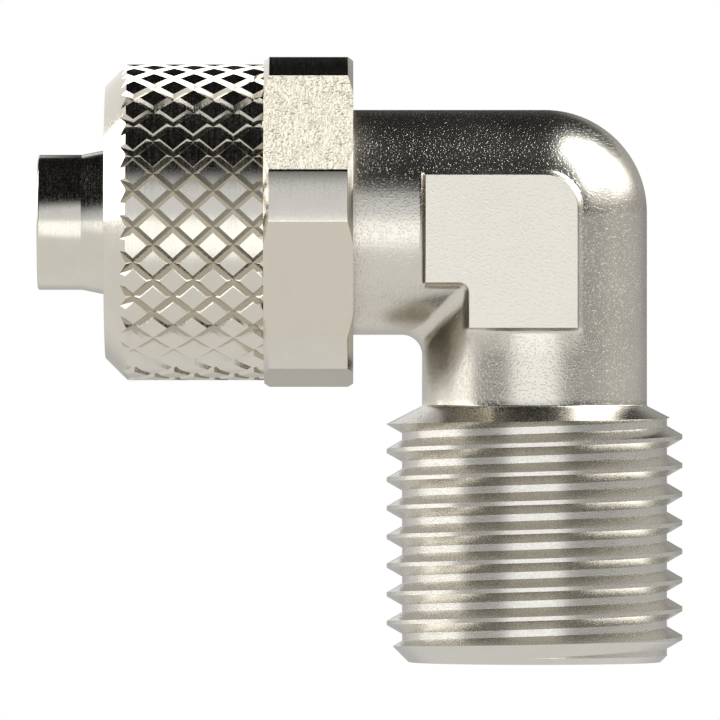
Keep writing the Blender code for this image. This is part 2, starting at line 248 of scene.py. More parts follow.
# Front window as the fitting sees it: an oval round the camera, white below and pale blue above.
# Its middle, half width, half height and dividing line are in degrees, its edge in half widths
FRONT_MIDDLE = 1.0
FRONT_HALF_WIDTH = 27.0
FRONT_HALF_HEIGHT = 30.0
FRONT_DIVISION = 1.7
FRONT_EDGE = (0.70, 1.30)
FRONT_LOW = (1.62, 1.64, 1.67)
FRONT_HIGH = (0.86, 0.89, 0.94)

# Soft boxes round the room: azimuth from the camera towards +X and elevation, in degrees, then
# half width, half height, softness of the edge, radiance and colour
SOFT_BOXES = (
    ("left_wall", -94, 30.5, 27, 29.5, 5, 3.30, (1.00, 1.00, 1.00)),
    ("left_back", -150, 16, 26, 16, 6, 1.00, (1.00, 1.00, 1.00)),
    ("right_wall", 89, 49, 32, 23, 6, 4.50, (0.98, 1.00, 1.02)),
    ("right_side", 108, 22, 20, 9, 13, 2.50, (1.00, 1.00, 1.00)),
    ("right_front", 74, 20, 16, 10, 8, 0.95, (1.02, 1.00, 0.96)),
    ("right_low", 126, 14, 50, 13, 10, 0.40, (1.03, 1.00, 0.95)),
)


def mesh_from(name, bm):
    bmesh.ops.recalc_face_normals(bm, faces=bm.faces)
    mesh = bpy.data.meshes.new(name)
    bm.to_mesh(mesh)
    bm.free()
    return mesh


def scratch(name, bm):
    """A working object in millimetres, linked so that modifiers can be evaluated on it."""
    piece = bpy.data.objects.new(name, mesh_from(name, bm))
    bpy.context.scene.collection.objects.link(piece)
    return piece


def combined(piece, tool, operation):
    """Apply a Boolean at once and throw the tool away."""
    boolean = piece.modifiers.new("cut", "BOOLEAN")
    boolean.operation = operation
    boolean.solver = "EXACT"
    boolean.object = tool
    graph = bpy.context.evaluated_depsgraph_get()
    mesh = bpy.data.meshes.new_from_object(piece.evaluated_get(graph))
    piece.modifiers.clear()
    piece.data = mesh
    bpy.data.objects.remove(tool)
    return piece


def new_ring(bm, points):
    return [bm.verts.new(point) for point in points]


def about_z(radius, angle, height):
    return (radius * math.cos(angle), radius * math.sin(angle), height)


def even_angles(sides):
    return [2 * math.pi * i / sides for i in range(sides)]


def bridge(bm, rings, closed=False):
    """Join rings of vertices one after another with quads."""
    pairs = list(zip(rings, rings[1:]))
    if closed:
        pairs.append((rings[-1], rings[0]))
    for ring, following in pairs:
        count = len(ring)
        for i in range(count):
            j = (i + 1) % count
            bm.faces.new((ring[i], ring[j], following[j], following[i]))


def arc_corner(before, corner, after, radius, steps):
    """Points of the arc that rounds one corner of an outline."""
    back = math.atan2(before[1] - corner[1], before[0] - corner[0])
    ahead = math.atan2(after[1] - corner[1], after[0] - corner[0])
    turn = (ahead - back + math.pi) % (2 * math.pi) - math.pi
    bisector = back + turn / 2
    away = radius / math.sin(abs(turn) / 2)
    reach = radius / math.tan(abs(turn) / 2)
    centre = (corner[0] + away * math.cos(bisector), corner[1] + away * math.sin(bisector))
    first = (corner[0] + reach * math.cos(back), corner[1] + reach * math.sin(back))
    start = math.atan2(first[1] - centre[1], first[0] - centre[0])
    sweep = math.copysign(math.pi - abs(turn), -turn)
    points = []
    for step in range(steps + 1):
        angle = start + sweep * step / steps
        points.append((centre[0] + radius * math.cos(angle), centre[1] + radius * math.sin(angle)))
    return points


def rounded(corners, closed, steps=4):
    """An outline from (a, b, radius) corners, with an arc wherever the radius isn't 0."""
    points = []
    count = len(corners)
    for i, corner in enumerate(corners):
        end = not closed and i in (0, count - 1)
        if end or corner[2] == 0:
            points.append(corner[:2])
        else:
            before = corners[i - 1]
            after = corners[(i + 1) % count]
            points.extend(arc_corner(before, corner, after, corner[2], steps))
    return points


def turned_rings(bm, profile, sides):
    """A ring of vertices about Z for each (radius, height) of a profile."""
    rings = []
    for radius, height in profile:
        rings.append(new_ring(bm, [about_z(radius, a, height) for a in even_angles(sides)]))
    return rings


def turned_bar(name, profile, sides):
    """A turned solid whose profile starts and ends with flat ends."""
    bm = bmesh.new()
    rings = turned_rings(bm, profile, sides)
    bridge(bm, rings)
    bm.faces.new(rings[0])
    bm.faces.new(rings[-1])
    return scratch(name, bm)


def turned_ring(name, profile, sides):
    """A turned solid with a hole, from a closed profile."""
    bm = bmesh.new()
    bridge(bm, turned_rings(bm, profile, sides), closed=True)
    return scratch(name, bm)


def lay_along_hose_arm(piece):
    """Turn a mesh made about Z so that its height runs from the corner along the hose arm."""
    lay = Matrix.Translation((0, 0, CORNER_HEIGHT)) @ Matrix.Rotation(-math.pi / 2, 4, "Y")
    piece.data.transform(lay)
    return piece


def hose_arm_profile():
    """(distance from the corner, radius) from the nipple's tip back to the plain arm."""
    corners = [
        (NIPPLE_TIP, NIPPLE_RADIUS - NIPPLE_END_FLAT, 0),
        (NIPPLE_TIP, NIPPLE_RADIUS, SOFT_EDGE),
        (NIPPLE_TIP - NIPPLE_TIP_LENGTH, NIPPLE_RADIUS, KEEN_EDGE),
        (BARB_TOP, BARB_RADIUS, BARB_EDGE),
        (BARB_TOP - BARB_BACK, NECK_RADIUS, BARB_EDGE),
        (UNION_FACE, NECK_RADIUS, TURNED_FILLET),
        (UNION_FACE, UNION_RADIUS - UNION_CHAMFER, 0),
        (UNION_FACE - UNION_CHAMFER, UNION_RADIUS, 0),
        (UNION_START + UNION_RUN_OUT, UNION_RADIUS, SOFT_EDGE),
        (UNION_START, ARM_RADIUS, TURNED_FILLET),
        (UNION_START - RING_GAP, ARM_RADIUS, 0),
        (PLAIN_ARM_RING + RING_GAP, ARM_RADIUS, 0),
        (PLAIN_ARM_RING, ARM_RADIUS, 0),
    ]
    return rounded(corners, closed=False)


def port_arm_profile():
    """(height, radius) from the plain arm down to its end, oversize where the thread is cut."""
    stock = PORT_CREST_RADIUS + CUT_MARGIN
    slope = PORT_FLARE_LENGTH / (PORT_CREST_RADIUS - ARM_RADIUS)
    corners = [
        (CORNER_HEIGHT - PLAIN_ARM_RING, ARM_RADIUS, 0),
        (CORNER_HEIGHT - PLAIN_ARM_RING - RING_GAP, ARM_RADIUS, 0),
        (PORT_LENGTH + PORT_FLARE_RING, ARM_RADIUS, 0),
        (PORT_LENGTH, ARM_RADIUS, SOFT_EDGE),
        (PORT_LENGTH - (stock - ARM_RADIUS) * slope, stock, 0),
        (PORT_END_CHAMFER + CUT_MARGIN, stock, 0),
        (0, PORT_CREST_RADIUS - PORT_END_CHAMFER, BROKEN_EDGE),
        (0, PORT_CREST_RADIUS - PORT_END_CHAMFER - PORT_END_FLAT, 0),
    ]
    return rounded(corners, closed=False)


def corner_point(angle, share):
    """A point of the corner's blend: a ball rolls inside its outer side, outside its inner one."""
    cosine = math.cos(angle)
    sine = math.sin(angle)
    ball = OUTER_CORNER_RADIUS if cosine > 0 else -INNER_CORNER_RADIUS
    centre = ARM_RADIUS - ball
    between = math.acos(min(1.0, sine * sine))
    if between < TINY:
        return (0, ARM_RADIUS * sine, CORNER_HEIGHT)
    on_hose_arm = math.sin((1 - share) * between) / math.sin(between)
    on_port_arm = math.sin(share * between) / math.sin(between)
    x = cosine * (centre + ball * on_port_arm)
    y = sine * (centre + ball * (on_hose_arm + on_port_arm))
    z = cosine * (centre + ball * on_hose_arm)
    return (x, y, CORNER_HEIGHT + z)


def elbow_blank():
    """The solid elbow, nipple to port, before pads, thread and bores."""
    angles = even_angles(ARM_SIDES)
    outlines = []
    for distance, radius in hose_arm_profile():
        outline = [(radius * math.sin(a), CORNER_HEIGHT + radius * math.cos(a)) for a in angles]
        outlines.append([(-distance, y, z) for y, z in outline])
    for step in range(CORNER_STEPS + 1):
        outlines.append([corner_point(a, step / CORNER_STEPS) for a in angles])
    for height, radius in port_arm_profile():
        outlines.append([about_z(radius, a, height) for a in angles])
    bm = bmesh.new()
    rings = [new_ring(bm, outline) for outline in outlines]
    bridge(bm, rings)
    bm.faces.new(rings[0])
    bm.faces.new(rings[-1])
    bmesh.ops.remove_doubles(bm, verts=bm.verts, dist=TINY)
    return scratch("elbow_blank", bm)


def pad_outline():
    """The wrench pad's L about the corner's centre."""
    corners = [
        (-PAD_LEFT, PAD_TOP, PAD_EDGE_RADIUS),
        (PAD_RIGHT, PAD_TOP, PAD_CORNER_RADIUS),
        (PAD_RIGHT, -PAD_BOTTOM, PAD_EDGE_RADIUS),
        (-PAD_NOTCH_LEFT, -PAD_BOTTOM, PAD_EDGE_RADIUS),
        (-PAD_NOTCH_LEFT, -PAD_NOTCH_BELOW, PAD_NOTCH_RADIUS),
        (-PAD_LEFT, -PAD_NOTCH_BELOW, PAD_EDGE_RADIUS),
    ]
    return rounded(corners, closed=True, steps=PAD_CORNER_STEPS)


def spaced(outline, gap):
    """The same closed outline with its straight stretches divided to at most gap."""
    points = []
    for i, point in enumerate(outline):
        following = outline[(i + 1) % len(outline)]
        length = math.dist(point, following)
        parts = max(1, math.ceil(length / gap))
        for k in range(parts):
            share = k / parts
            points.append(tuple(p + (q - p) * share for p, q in zip(point, following)))
    return points


def wrench_pad(side, surface):
    """One pad with rounded lip, drafted walls and a fillet that runs out on the arms below it."""
    base = spaced(pad_outline(), PAD_POINT_GAP)
    count = len(base)
    area = sum(base[i - 1][0] * base[i][1] - base[i][0] * base[i - 1][1] for i in range(count))
    turning = -1 if area > 0 else 1

    def offset(grow):
        """The outline's own points moved out along their normals, so that all rings match."""
        moved = []
        for i, (x, z) in enumerate(base):
            before = base[i - 1]
            after = base[(i + 1) % count]
            along = Vector((after[0] - before[0], after[1] - before[1])).normalized()
            moved.append((x - along.y * grow * turning, z + along.x * grow * turning))
        return moved

    def level_ring(grow, y):
        return new_ring(bm, [(x, side * y, CORNER_HEIGHT + z) for x, z in offset(grow)])

    def ring_on_arms(grow, above):
        points = []
        for x, z in offset(grow):
            start = Vector((x, side * OUTSIDE_PART, CORNER_HEIGHT + z))
            hit = surface.ray_cast(start, Vector((0, -side, 0)))[0]
            points.append((x, side * (abs(hit.y) + above), CORNER_HEIGHT + z))
        return new_ring(bm, points)

    bm = bmesh.new()
    rings = []
    for step in range(PAD_LIP_STEPS + 1):
        angle = step * math.pi / 2 / PAD_LIP_STEPS
        inset = PAD_LIP_RADIUS * (1 - math.sin(angle))
        rings.append(level_ring(-inset, PAD_FACE - PAD_LIP_RADIUS * (1 - math.cos(angle))))
    for step in range(PAD_FILLET_STEPS + 1):
        angle = math.radians(step * PAD_FILLET_STEP_DEGREES)
        away = PAD_DRAFT + PAD_FILLET * (1 - math.cos(angle))
        rings.append(ring_on_arms(away, PAD_FILLET * (1 - math.sin(angle))))
    rings.append(ring_on_arms(PAD_DRAFT + PAD_FILLET * PAD_SKIRT_REACH, -PAD_SKIRT_DEPTH))
    rings.append(level_ring(-PAD_ROOT_INSET, PAD_ROOT))
    bridge(bm, rings)
    bm.faces.new(rings[0])
    bm.faces.new(rings[-1])
    return scratch("wrench_pad", bm)


def threaded_bar():
    """A bar with the right-handed port thread, longer than the thread at both ends."""
    flank = (PORT_PITCH - PORT_CREST_FLAT - PORT_ROOT_FLAT) / 2
    crest = PORT_CREST_FLAT / 2
    section = [
        (PORT_CREST_RADIUS, -crest),
        (PORT_CREST_RADIUS, crest),
        (PORT_ROOT_RADIUS, crest + flank),
        (PORT_ROOT_RADIUS, crest + flank + PORT_ROOT_FLAT),
    ]
    full = (PORT_TURNS_BELOW + math.ceil(PORT_LENGTH / PORT_PITCH) + 1) * ARM_SIDES
    bm = bmesh.new()
    strip = []
    for step in range(full + ARM_SIDES):
        share = (step + 0.5) / ARM_SIDES
        angle = PORT_HELIX_START + 2 * math.pi * share
        middle = PORT_FIRST_CREST + PORT_PITCH * (share - PORT_TURNS_BELOW)
        points = section if step < full else section[:1]
        strip.append(new_ring(bm, [about_z(radius, angle, middle + up) for radius, up in points]))
    columns = [strip[i] + strip[i + ARM_SIDES][:1] for i in range(full)]
    for here, there in zip(columns, columns[1:]):
        for j in range(len(section)):
            bm.faces.new((here[j], there[j], there[j + 1], here[j + 1]))
    lowest = [column[0] for column in strip[:ARM_SIDES]] + columns[0][::-1]
    highest = [column[0] for column in strip[full - 1 : -1]] + columns[-1][::-1]
    for loop in (lowest, highest):
        rim = loop[:-1]
        middle = bm.verts.new((0, 0, rim[0].co.z))
        for vert, following in zip(rim, rim[1:] + rim[:1]):
            bm.faces.new((middle, vert, following))
    return scratch("threaded_bar", bm)


def thread_ring():
    """What threading takes off the blank."""
    outside = PORT_CREST_RADIUS + 2 * CUT_MARGIN
    inside = (ARM_RADIUS + PORT_ROOT_RADIUS) / 2
    top = PORT_LENGTH + CUT_MARGIN
    profile = [(outside, top), (outside, -CUT_MARGIN), (inside, -CUT_MARGIN), (inside, top)]
    return combined(turned_ring("thread_ring", profile, ARM_SIDES), threaded_bar(), "DIFFERENCE")


def port_drill():
    shoulder = CORNER_HEIGHT + PORT_BORE_PAST_CORNER
    point = shoulder + PORT_BORE_RADIUS / math.tan(DRILL_HALF_ANGLE)
    mouth = PORT_BORE_RADIUS + PORT_MOUTH_CHAMFER
    profile = [
        (DRILL_POINT_RADIUS, point),
        (PORT_BORE_RADIUS, shoulder),
        (PORT_BORE_RADIUS, PORT_MOUTH_CHAMFER),
        (mouth, 0),
        (mouth + CUT_MARGIN, -CUT_MARGIN),
    ]
    return turned_bar("port_drill", profile, PORT_BORE_SIDES)


def nipple_drill():
    mouth = NIPPLE_BORE_RADIUS + NIPPLE_MOUTH_CHAMFER
    profile = [
        (mouth + CUT_MARGIN, NIPPLE_TIP + CUT_MARGIN),
        (mouth, NIPPLE_TIP),
        (NIPPLE_BORE_RADIUS, NIPPLE_TIP - NIPPLE_MOUTH_CHAMFER),
        (NIPPLE_BORE_RADIUS, 0),
        (DRILL_POINT_RADIUS, -NIPPLE_BORE_RADIUS / math.tan(DRILL_HALF_ANGLE)),
    ]
    return lay_along_hose_arm(turned_bar("nipple_drill", profile, NIPPLE_BORE_SIDES))


def finished(piece, name, materials, choose, sharp):
    """Scale a working object to metres, give its faces their materials and shade it smooth."""
    mesh = piece.data
    mesh.materials.clear()
    for material in materials:
        mesh.materials.append(material)
    for polygon in mesh.polygons:
        polygon.material_index = choose(polygon.center, polygon.normal)
    mesh.transform(Matrix.Scale(MM, 4))
    mesh.shade_smooth()
    mesh.set_sharp_from_angle(angle=math.radians(sharp))
    mesh.name = name
    piece.name = name
    even = piece.modifiers.new("even_normals", "WEIGHTED_NORMAL")
    even.keep_sharp = True
    even.weight = 100
    return piece


def elbow_region(centre, normal):
    """A body face's finish: 0 forged, 1 turned, 2 drilled, 3 port thread, 4 wrench pad."""
    near_port_axis = math.hypot(centre.x, centre.y) < PORT_BORE_RADIUS + PORT_BORE_MARGIN
    in_port_bore = near_port_axis and centre.z < CORNER_HEIGHT + BORES_ABOVE_CORNER
    from_hose_axis = math.hypot(centre.y, centre.z - CORNER_HEIGHT)
    near_hose_axis = from_hose_axis < NIPPLE_BORE_RADIUS + NIPPLE_BORE_MARGIN
    in_hose_bore = near_hose_axis and centre.x < NIPPLE_BORE_RADIUS
    if (in_port_bore or in_hose_bore) and abs(centre.y) < BORES_HALF_WIDTH:
        return 2
    if centre.x < -UNION_START + NIPPLE_MARGIN:
        return 1
    if centre.z < PORT_LENGTH - PORT_MARGIN:
        return 3
    if abs(centre.y) > PAD_FACE - FACE_MARGIN and abs(normal.y) > PAD_FACING:
        return 4
    return 0


def build_body(forged, turned, drilled, threaded, pad):
    body = elbow_blank()
    surface = BVHTree.FromPolygons(
        [v.co for v in body.data.vertices], [tuple(p.vertices) for p in body.data.polygons]
    )
    for side in (-1, 1):
        combined(body, wrench_pad(side, surface), "UNION")
    combined(body, port_drill(), "DIFFERENCE")
    combined(body, nipple_drill(), "DIFFERENCE")
    combined(body, thread_ring(), "DIFFERENCE")
    finishes = (forged, turned, drilled, threaded, pad)
    finished(body, "plated_elbow", finishes, elbow_region, ELBOW_SHARP_ANGLE)
    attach(body, "elbow")
    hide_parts("elbow_body")
    return body


def nut_blank():
    stock = HEX_RADIUS
    corners = [
        (NUT_END_RADIUS, NUT_END, NUT_END_EDGE),
        (stock, NUT_END - (stock - NUT_END_RADIUS), 0),
        (stock, NUT_FROM_CORNER + HEX_CHAMFER_LENGTH, BROKEN_EDGE),
        (stock - HEX_CHAMFER_DEPTH, NUT_FROM_CORNER, KEEN_EDGE),
        (NUT_BORE_RADIUS + NUT_BORE_CHAMFER, NUT_FROM_CORNER, KEEN_EDGE),
        (NUT_BORE_RADIUS, NUT_FROM_CORNER + NUT_BORE_CHAMFER, 0),
        (NUT_BORE_RADIUS, NUT_SEAT, 0),
        (NUT_SEAT_RADIUS, NUT_SEAT, BROKEN_EDGE),
        (HOSE_RADIUS, NUT_END - HOSE_LAND, SOFT_EDGE),
        (HOSE_RADIUS, NUT_END - HOSE_MOUTH_CHAMFER, 0),
        (HOSE_RADIUS + HOSE_MOUTH_CHAMFER, NUT_END, KEEN_EDGE),
    ]
    return turned_ring("nut_blank", rounded(corners, closed=True), NUT_SIDES)


def hex_mill():
    low = NUT_FROM_CORNER - CUT_MARGIN
    high = HEX_END + MILL_OVERRUN
    depth = 2 * (HEX_RADIUS - FLAT_RADIUS)
    width = 2 * FLAT_RADIUS * math.tan(MILL_HALF_ANGLE)
    bm = bmesh.new()
    for side in range(6):
        block = bmesh.ops.create_cube(bm, size=1)["verts"]
        bmesh.ops.scale(bm, verts=block, vec=(depth, width, high - low))
        middle = (FLAT_RADIUS + depth / 2, 0, (low + high) / 2)
        bmesh.ops.translate(bm, verts=block, vec=middle)
        turn = Matrix.Rotation(HEX_TURN + side * math.pi / 3, 3, "Z")
        bmesh.ops.rotate(bm, verts=block, cent=(0, 0, 0), matrix=turn)
    return scratch("hex_mill", bm)


def knurl_samples():
    """Shares of a lattice cell from groove to groove, each with the knurl's rise there, 0 to 1."""
    crown = (1 - 2 * KNURL_GROOVE) / KNURL_CROWN_STEPS
    return [(0, 0)] + [(KNURL_GROOVE + i * crown, 1) for i in range(KNURL_CROWN_STEPS + 1)]


def knurl_roller():
    """A knurled bar, longer than the collar: a lattice of V grooves, a diamond in each cell."""
    samples = knurl_samples()
    size = len(samples)
    round_half = math.pi / KNURL_STARTS
    along_half = KNURL_AXIAL_PITCH / 2
    first = math.floor((HEX_END - CUT_MARGIN - KNURL_FIRST_ROW) / along_half) - 1
    last = math.ceil((NUT_END + 2 * CUT_MARGIN - KNURL_FIRST_ROW) / along_half) + 1
    period = KNURL_STARTS * size
    bm = bmesh.new()
    made = {}

    def vertex(u, v):
        """u and v count samples along the two families of grooves."""
        turns = (u + v) // (2 * period)
        key = (u - turns * period, v - turns * period)
        if key not in made:
            u_share, u_rise = samples[u % size]
            v_share, v_rise = samples[v % size]
            right = u // size + u_share
            left = v // size + v_share
            radius = KNURL_RADIUS - KNURL_DEPTH * (1 - min(u_rise, v_rise))
            angle = KNURL_TURN + (right + left + 1) * round_half
            height = KNURL_FIRST_ROW + (right - left) * along_half
            made[key] = bm.verts.new(about_z(radius, angle, height))
        return made[key]

    def fill(u, v, a, b):
        """One quad of a cell, split along the ridge where the two families' flanks meet."""
        low = vertex(u, v)
        right = vertex(u + 1, v)
        high = vertex(u + 1, v + 1)
        left = vertex(u, v + 1)
        if a == b:
            bm.faces.new((low, right, high))
            bm.faces.new((low, high, left))
        elif a + b == size - 1:
            bm.faces.new((low, right, left))
            bm.faces.new((right, high, left))
        else:
            bm.faces.new((low, right, high, left))

    for along in range(first, last + 1):
        for around in range(2 * KNURL_STARTS):
            if (around + along) % 2 == 0:
                cell_u = (around + along) // 2 * size
                cell_v = (around - along) // 2 * size
                for a in range(size):
                    for b in range(size):
                        fill(cell_u + a, cell_v + b, a, b)
    rims = [edge for edge in bm.edges if len(edge.link_faces) == 1]
    middle_height = KNURL_FIRST_ROW + (first + last) / 2 * along_half
    for low in (True, False):
        end = [e for e in rims if (e.verts[0].co.z < middle_height) == low]
        height = sum(e.verts[0].co.z for e in end) / len(end)
        middle = bm.verts.new((0, 0, height))
        for edge in end:
            bm.faces.new((middle, edge.verts[0], edge.verts[1]))
    return scratch("knurl_roller", bm)


def knurl_ring():
    """What rolling takes off the blank, with the hexagon's chamfer on its lower side."""
    outside = HEX_RADIUS + CUT_MARGIN
    inside = KNURL_RADIUS - KNURL_DEPTH - CUT_MARGIN
    chamfer_radius = HEX_RADIUS - HEX_CHAMFER_DEPTH
    slope = HEX_CHAMFER_LENGTH / HEX_CHAMFER_DEPTH
    top = NUT_END + CUT_MARGIN
    profile = [
        (outside, top),
        (outside, HEX_END - (outside - chamfer_radius) * slope),
        (chamfer_radius, HEX_END),
        (inside, HEX_END),
        (inside, top),
    ]
    ring = turned_ring("knurl_ring", profile, NUT_SIDES)
    return combined(ring, knurl_roller(), "DIFFERENCE")


def nut_region(centre, normal):
    """A nut face's finish: 0 turned, 1 milling-cut flat, 2 knurled, 3 coarsely brush-marked upper
    flat; both flats with painted light.
    """
    distance = -centre.x
    from_axis = math.hypot(centre.y, centre.z - CORNER_HEIGHT)
    if from_axis <= NUT_BORE_RADIUS + NUT_BORE_MARGIN:
        return 0
    on_flat = from_axis < HEX_RADIUS - FLAT_MARGIN and abs(normal.x) < FLAT_FACING
    if on_flat and distance < HEX_END:
        # An upward flat gets a copy of the flats' material whose colours are painted light from
        # above
        return 3 if normal.z > UPWARD_FACING else 1
    if distance > HEX_END + FACE_MARGIN and abs(normal.x) < KNURL_FACING:
        return 2
    return 0


def build_nut(turned, milled_painted_light, knurled, brushed_painted_light):
    nut = nut_blank()
    combined(nut, knurl_ring(), "DIFFERENCE")
    combined(nut, hex_mill(), "DIFFERENCE")
    lay_along_hose_arm(nut)
    finishes = (turned, milled_painted_light, knurled, brushed_painted_light)
    finished(nut, "plated_nut", finishes, nut_region, NUT_SHARP_ANGLE)
    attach(nut, "nut")
    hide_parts("union_nut")
    return nut


class Nodes:
    """A small helper to write a material's node tree."""

    def __init__(self, name):
        self.material = bpy.data.materials.new(name)
        self.material.use_nodes = True
        self.tree = self.material.node_tree
        self.shader = self.tree.nodes["Principled BSDF"]

    def add(self, kind, **settings):
        node = self.tree.nodes.new(kind)
        for key, value in settings.items():
            setattr(node, key, value)
        return node

    def link(self, source, target):
        self.tree.links.new(source, target)

    def coordinates(self, stretch):
        """Object coordinates in millimetres, stretched along the axes."""
        place = self.add("ShaderNodeTexCoord")
        mapping = self.add("ShaderNodeMapping")
        mapping.inputs["Scale"].default_value = [s / MM for s in stretch]
        self.link(place.outputs["Object"], mapping.inputs["Vector"])
        return mapping.outputs["Vector"]

    def noise(self, vector, scale, detail, roughness=0.5):
        node = self.add("ShaderNodeTexNoise")
        node.inputs["Scale"].default_value = scale
        node.inputs["Detail"].default_value = detail
        node.inputs["Roughness"].default_value = roughness
        self.link(vector, node.inputs["Vector"])
        return node.outputs["Fac"]

    def spread(self, value, low, high, low_to=0, high_to=1):
        """Map low to low_to and high to high_to, with the ends held beyond them."""
        node = self.add("ShaderNodeMapRange")
        node.inputs["From Min"].default_value = low
        node.inputs["From Max"].default_value = high
        node.inputs["To Min"].default_value = low_to
        node.inputs["To Max"].default_value = high_to
        self.link(value, node.inputs["Value"])
        return node.outputs["Result"]

    def middle(self, one, other):
        """The mean of two values."""
        node = self.add("ShaderNodeMix")
        node.inputs["Factor"].default_value = 0.5
        self.link(one, node.inputs["A"])
        self.link(other, node.inputs["B"])
        return node.outputs["Result"]

    def blended(self, value, low_colour, high_colour):
        node = self.add("ShaderNodeMix", data_type="RGBA")
        node.inputs["A"].default_value = (*low_colour, 1)
        node.inputs["B"].default_value = (*high_colour, 1)
        self.link(value, node.inputs["Factor"])
        return node.outputs["Result"]

    def bump(self, heights):
        """Stack bumps from (height socket, depth in millimetres) pairs."""
        normal = None
        for height, depth in heights:
            node = self.add("ShaderNodeBump")
            node.inputs["Strength"].default_value = 1.0
            node.inputs["Distance"].default_value = depth * MM
            self.link(height, node.inputs["Height"])
            if normal is not None:
                self.link(normal, node.inputs["Normal"])
            normal = node.outputs["Normal"]
        self.link(normal, self.shader.inputs["Normal"])


def forged_nickel(name, pimple_height, roughness):
    """Blasted forging under nickel: an even matte surface with small pimples that sparkle."""
    nodes = Nodes(name)
    place = nodes.coordinates((1, 1, 1))
    grain = nodes.noise(place, GRAIN_SCALE, detail=0.0)
    pimples = nodes.spread(grain, *PIMPLE_RANGE)
    clouds = nodes.noise(place, FORGED_CLOUD_SCALE, detail=3.0)
    colour = nodes.blended(nodes.spread(clouds, *CLOUD_RANGE), *FORGED_COLOURS)
    nodes.link(colour, nodes.shader.inputs["Base Color"])
    nodes.link(nodes.spread(clouds, *CLOUD_RANGE, *roughness), nodes.shader.inputs["Roughness"])
    nodes.shader.inputs["Metallic"].default_value = 1.0
    nodes.bump(((pimples, pimple_height),))
    return nodes.material


def turned_nickel(name, stretch, roughness, depth, colours=TURNED_COLOURS):
    """Machined brass under bright nickel, its marks finest along the axis of largest stretch."""
    nodes = Nodes(name)
    marks = nodes.noise(nodes.coordinates(stretch), 1.0, 4.0, MARK_ROUGHNESS)
    place = nodes.coordinates((1, 1, 1))
    clouds = nodes.noise(place, TURNED_CLOUD_SCALE, detail=3.0)
    grain = nodes.noise(place, GRAIN_SCALE, detail=1.0)
    colour = nodes.blended(nodes.spread(clouds, *CLOUD_RANGE), *colours)
    nodes.link(colour, nodes.shader.inputs["Base Color"])
    texture = nodes.middle(marks, grain)
    nodes.link(nodes.spread(texture, *MARK_RANGE, *roughness), nodes.shader.inputs["Roughness"])
    nodes.shader.inputs["Metallic"].default_value = 1.0
    nodes.bump(((marks, depth), (grain, depth * TURNED_GRAIN)))
    return nodes.material


def milled_nickel_painted_light(name, relief, colours):
    """The hexagon's flats, brush-marked round the nut, so that reflections spread along its axis.
    """
    nodes = Nodes(name)
    streaks = nodes.noise(nodes.coordinates(BRUSH_STRETCH), 1.0, 2.0, MARK_ROUGHNESS)
    grain = nodes.noise(nodes.coordinates((1, 1, 1)), GRAIN_SCALE, detail=0.0)
    texture = nodes.middle(streaks, grain)
    # The colours passed in are painted light: lighter and warmer than the other nickel's
    colour = nodes.blended(nodes.spread(texture, *BRUSH_COLOUR_RANGE), *colours)
    nodes.link(colour, nodes.shader.inputs["Base Color"])
    spread = nodes.spread(streaks, *MARK_RANGE, *BRUSH_ROUGHNESS)
    nodes.link(spread, nodes.shader.inputs["Roughness"])
    nodes.shader.inputs["Metallic"].default_value = 1.0
    nodes.shader.inputs["Anisotropic"].default_value = 0.95
    nodes.shader.inputs["Anisotropic Rotation"].default_value = 0.25
    around = nodes.add("ShaderNodeTangent", direction_type="RADIAL", axis="X")
    nodes.link(around.outputs["Tangent"], nodes.shader.inputs["Tangent"])
    nodes.bump(((streaks, relief), (grain, relief * BRUSH_GRAIN)))
    return nodes.material


def add_camera():
    camera = bpy.data.objects.new("camera", bpy.data.cameras.new("camera"))
    bpy.context.scene.collection.objects.link(camera)
    x, y, z = CAMERA_TARGET
    camera.location = (x * MM, (y - CAMERA_DISTANCE) * MM, z * MM)
    camera.rotation_euler = (math.pi / 2, 0, 0)
    camera.data.sensor_width = SENSOR_WIDTH
    camera.data.lens = SENSOR_WIDTH * CAMERA_DISTANCE / FRAME_WIDTH
    camera.data.clip_start = 0.01
    camera.data.clip_end = 10.0
    bpy.context.scene.camera = camera


